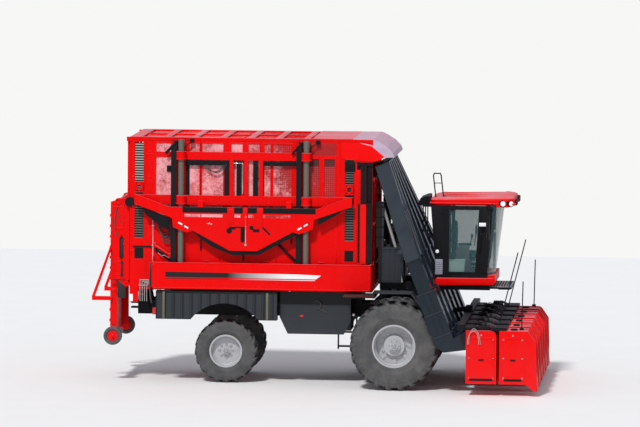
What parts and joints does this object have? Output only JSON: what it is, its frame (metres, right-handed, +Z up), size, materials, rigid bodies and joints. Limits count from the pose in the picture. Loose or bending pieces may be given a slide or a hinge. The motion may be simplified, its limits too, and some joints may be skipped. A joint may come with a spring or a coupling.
{
  "type": "six-row cotton picker with module builder",
  "caption": "Wheeled cotton picker: picking header in front, cab, air ducts over it to a large module chamber with a folding rear ramp.",
  "frame": {"origin": "on the ground under the middle of the machine's length and width", "axes": "+X forward, +Y to the machine's left, +Z up"},
  "size_m": [9.01, 5.76, 4.9156],
  "materials": {
    "red_paint": "gloss",
    "dark_paint": "satin",
    "duct_paint": "satin",
    "tank_plastic": "satin",
    "rubber": "matte",
    "rim_paint": "satin",
    "iron": "matte",
    "rod_steel": "polished",
    "steel": "satin",
    "glass": "clear",
    "lamp": "gloss",
    "seat_fabric": "woven",
    "mesh_screen": "matte"
  },
  "bodies": {
    "chassis": {"chassis_frame": "dark_paint", "cab_beams": "dark_paint", "drop_frame": "dark_paint", "front_axle": "iron", "rear_axle": "iron", "engine": "iron", "cooling_box": "tank_plastic", "side_tanks": "tank_plastic", "body_panels": "tank_plastic", "ducts": "duct_paint", "cab_floor": "red_paint", "cab_frame": "dark_paint", "cab_roof": "red_paint", "roof_lamps": "lamp", "cab_glass": "glass", "cab_seat": "seat_fabric", "walkway": "dark_paint"},
    "cab_door": {"cab_door": "dark_paint", "cab_door_glass": "glass"},
    "front_wheels_right": {"front_rims_right": "rim_paint", "front_tyres_right": "rubber"},
    "front_wheels_left": {"front_rims_left": "rim_paint", "front_tyres_left": "rubber"},
    "knuckle_right": {"knuckle_right": "iron"},
    "knuckle_left": {"knuckle_left": "iron"},
    "rear_wheel_right": {"rear_rim_right": "rim_paint", "rear_tyre_right": "rubber"},
    "rear_wheel_left": {"rear_rim_left": "rim_paint", "rear_tyre_left": "rubber"},
    "chamber": {"chamber_floor": "red_paint", "chamber_sides": "red_paint", "chamber_ends": "red_paint", "chamber_roof": "red_paint", "screens": "mesh_screen", "hood": "red_paint", "skirts": "red_paint", "masts": "dark_paint"},
    "packer": {"packer_frame": "red_paint", "slat_bands": "dark_paint"},
    "upper_gate": {"upper_gate": "red_paint"},
    "rear_gate": {"rear_gate": "red_paint"},
    "ramp": {"ramp": "red_paint"},
    "ramp_wheels": {"ramp_wheels": "rubber"},
    "tilt_barrels": {"tilt_barrels": "dark_paint"},
    "tilt_rods": {"tilt_rods": "rod_steel"},
    "lift_arms": {"lift_arms": "dark_paint"},
    "upper_link": {"upper_link": "dark_paint"},
    "lift_barrels": {"lift_barrels": "dark_paint"},
    "lift_rods": {"lift_rods": "rod_steel"},
    "header": {"toolbar": "dark_paint", "cabinets": "red_paint", "pressure_sides": "red_paint", "snouts": "red_paint", "drums": "steel", "duct_sleeves": "duct_paint"}
  },
  "joints": [
    {"name": "front_spin_right", "type": "hinge", "parent": "chassis", "child": "front_wheels_right", "pos_m": [1.625, -1.4475, 0.8815], "axis": [0, 1, 0], "continuous": true},
    {"name": "front_spin_left", "type": "hinge", "parent": "chassis", "child": "front_wheels_left", "pos_m": [1.625, 1.4475, 0.8815], "axis": [0, 1, 0], "continuous": true},
    {"name": "steer_right", "type": "hinge", "parent": "chassis", "child": "knuckle_right", "pos_m": [-1.805, -0.69, 0.6325], "axis": [0, 0, 1], "range_deg": [-45, 45]},
    {"name": "rear_spin_right", "type": "hinge", "parent": "knuckle_right", "child": "rear_wheel_right", "pos_m": [-1.805, -0.965, 0.6325], "axis": [0, 1, 0], "continuous": true},
    {"name": "steer_left", "type": "hinge", "parent": "chassis", "child": "knuckle_left", "pos_m": [-1.805, 0.69, 0.6325], "axis": [0, 0, 1], "range_deg": [-45, 45]},
    {"name": "rear_spin_left", "type": "hinge", "parent": "knuckle_left", "child": "rear_wheel_left", "pos_m": [-1.805, 0.965, 0.6325], "axis": [0, 1, 0], "continuous": true},
    {"name": "cab_door_swing", "type": "hinge", "parent": "chassis", "child": "cab_door", "pos_m": [2.568, 0.882, 2.9], "axis": [0, 0, 1], "range_deg": [0, 80]},
    {"name": "header_lift", "type": "hinge", "parent": "chassis", "child": "lift_arms", "pos_m": [1.95, 0, 0.9], "axis": [0, -1, 0], "range_deg": [0, 28]},
    {"name": "header_level", "type": "hinge", "parent": "lift_arms", "child": "header", "pos_m": [2.98978, 0, 1.04613], "axis": [0, -1, 0], "range_deg": [-28, 0]},
    {"name": "upper_link_swing", "type": "hinge", "parent": "chassis", "child": "upper_link", "pos_m": [1.95, 0, 1.32], "axis": [0, -1, 0], "range_deg": [0, 28]},
    {"name": "lift_barrel_swing", "type": "hinge", "parent": "chassis", "child": "lift_barrels", "pos_m": [2.08, 0, 1.62], "axis": [0, -1, 0], "range_deg": [0, 14.79]},
    {"name": "lift_rod_slide", "type": "slide", "parent": "lift_barrels", "child": "lift_rods", "axis": [0.7054, 0, -0.7088], "range_m": [-0.31608, 0]},
    {"name": "chamber_tilt", "type": "hinge", "parent": "chassis", "child": "chamber", "pos_m": [-3.55, 0, 1.75], "axis": [0, -1, 0], "range_deg": [0, 10]},
    {"name": "tilt_barrel_swing", "type": "hinge", "parent": "chassis", "child": "tilt_barrels", "pos_m": [-1.6, 0, 1.4], "axis": [0, -1, 0], "range_deg": [0, 18.67]},
    {"name": "tilt_rod_slide", "type": "slide", "parent": "tilt_barrels", "child": "tilt_rods", "axis": [0.9762, 0, 0.2169], "range_m": [0, 0.18374]},
    {"name": "packer_slide", "type": "slide", "parent": "chamber", "child": "packer", "axis": [0, 0, 1], "range_m": [-0.7, 0]},
    {"name": "upper_gate_swing", "type": "hinge", "parent": "chamber", "child": "upper_gate", "pos_m": [-3.775, 0, 4.85], "axis": [0, 1, 0], "range_deg": [0, 70]},
    {"name": "gate_fall", "type": "hinge", "parent": "chamber", "child": "rear_gate", "pos_m": [-3.8, 0, 1.95], "axis": [0, -1, 0], "range_deg": [0, 102]},
    {"name": "ramp_unfold", "type": "hinge", "parent": "rear_gate", "child": "ramp", "pos_m": [-3.98, 0, 3.6], "axis": [0, 1, 0], "range_deg": [0, 180]},
    {"name": "ramp_wheel_spin", "type": "hinge", "parent": "ramp", "child": "ramp_wheels", "pos_m": [-4.07, 0, 0.91], "axis": [0, 1, 0], "continuous": true}
  ],
  "couplings": [
    {"joint": "steer_left", "follows": "steer_right", "ratio": 1},
    {"joint": "header_level", "follows": "header_lift", "ratio": -1},
    {"joint": "upper_link_swing", "follows": "header_lift", "ratio": 1},
    {"joint": "lift_barrel_swing", "follows": "header_lift", "ratio": 0.52806},
    {"joint": "lift_rod_slide", "follows": "header_lift", "m_per_rad": -0.64678},
    {"joint": "tilt_barrel_swing", "follows": "chamber_tilt", "ratio": 1.8673},
    {"joint": "tilt_rod_slide", "follows": "chamber_tilt", "m_per_rad": 1.0527},
    {"joint": "ramp_unfold", "follows": "gate_fall", "ratio": 1.7647}
  ]
}
